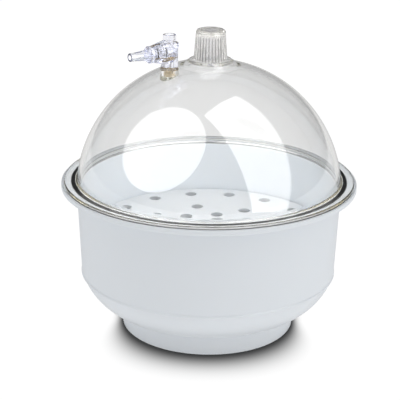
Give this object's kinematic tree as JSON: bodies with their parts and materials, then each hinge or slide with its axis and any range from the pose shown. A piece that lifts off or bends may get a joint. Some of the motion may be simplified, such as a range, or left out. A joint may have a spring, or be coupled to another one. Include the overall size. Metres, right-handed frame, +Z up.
{
  "type": "vacuum desiccator",
  "caption": "Plastic vacuum desiccator: white bowl with perforated shelf, clear sealed dome, ribbed knob and rotary stopcock with hose nozzle.",
  "frame": {"origin": "centre of the bowl's foot, on its bottom plane", "axes": "+Z up along the common axis of the bowl and the dome; the stopcock stands towards -X and -Y"},
  "size_m": [0.2934, 0.2934, 0.3036],
  "materials": {
    "white_plastic": "semi-gloss moulded polypropylene",
    "white_plate": "satin moulded polypropylene",
    "clear_dome": "clear polished polycarbonate with a faint warm tint",
    "clear_knob": "clear ribbed polycarbonate",
    "clear_fittings": "clear polycarbonate with a faint blue tint",
    "clear_plug": "clear polished polycarbonate",
    "amber_washer": "translucent amber silicone",
    "black_rubber": "smooth black rubber"
  },
  "bodies": {
    "base": {"base_bowl": "white_plastic", "rim_seal": "black_rubber"},
    "plate": {"perforated_plate": "white_plate"},
    "lid": {"dome_cover": "clear_dome", "knob_stem": "clear_fittings", "knob_cap": "clear_knob", "stopcock_body": "clear_fittings", "stopcock_gasket": "amber_washer", "plug_retainer": "clear_fittings"},
    "valve": {"valve_plug": "clear_plug", "plug_seal_inner": "black_rubber", "plug_seal_outer": "black_rubber"}
  },
  "joints": [
    {"name": "lid_lift", "type": "slide", "parent": "base", "child": "lid", "axis": [0, 0, 1], "range_m": [0, 0.15]},
    {"name": "plate_lift", "type": "slide", "parent": "base", "child": "plate", "axis": [0, 0, 1], "range_m": [0, 0.05]},
    {"name": "valve_turn", "type": "hinge", "parent": "lid", "child": "valve", "pos_m": [-0.03892, -0.02518, 0.287], "axis": [-0.7986, -0.6018, 0], "continuous": true}
  ]
}
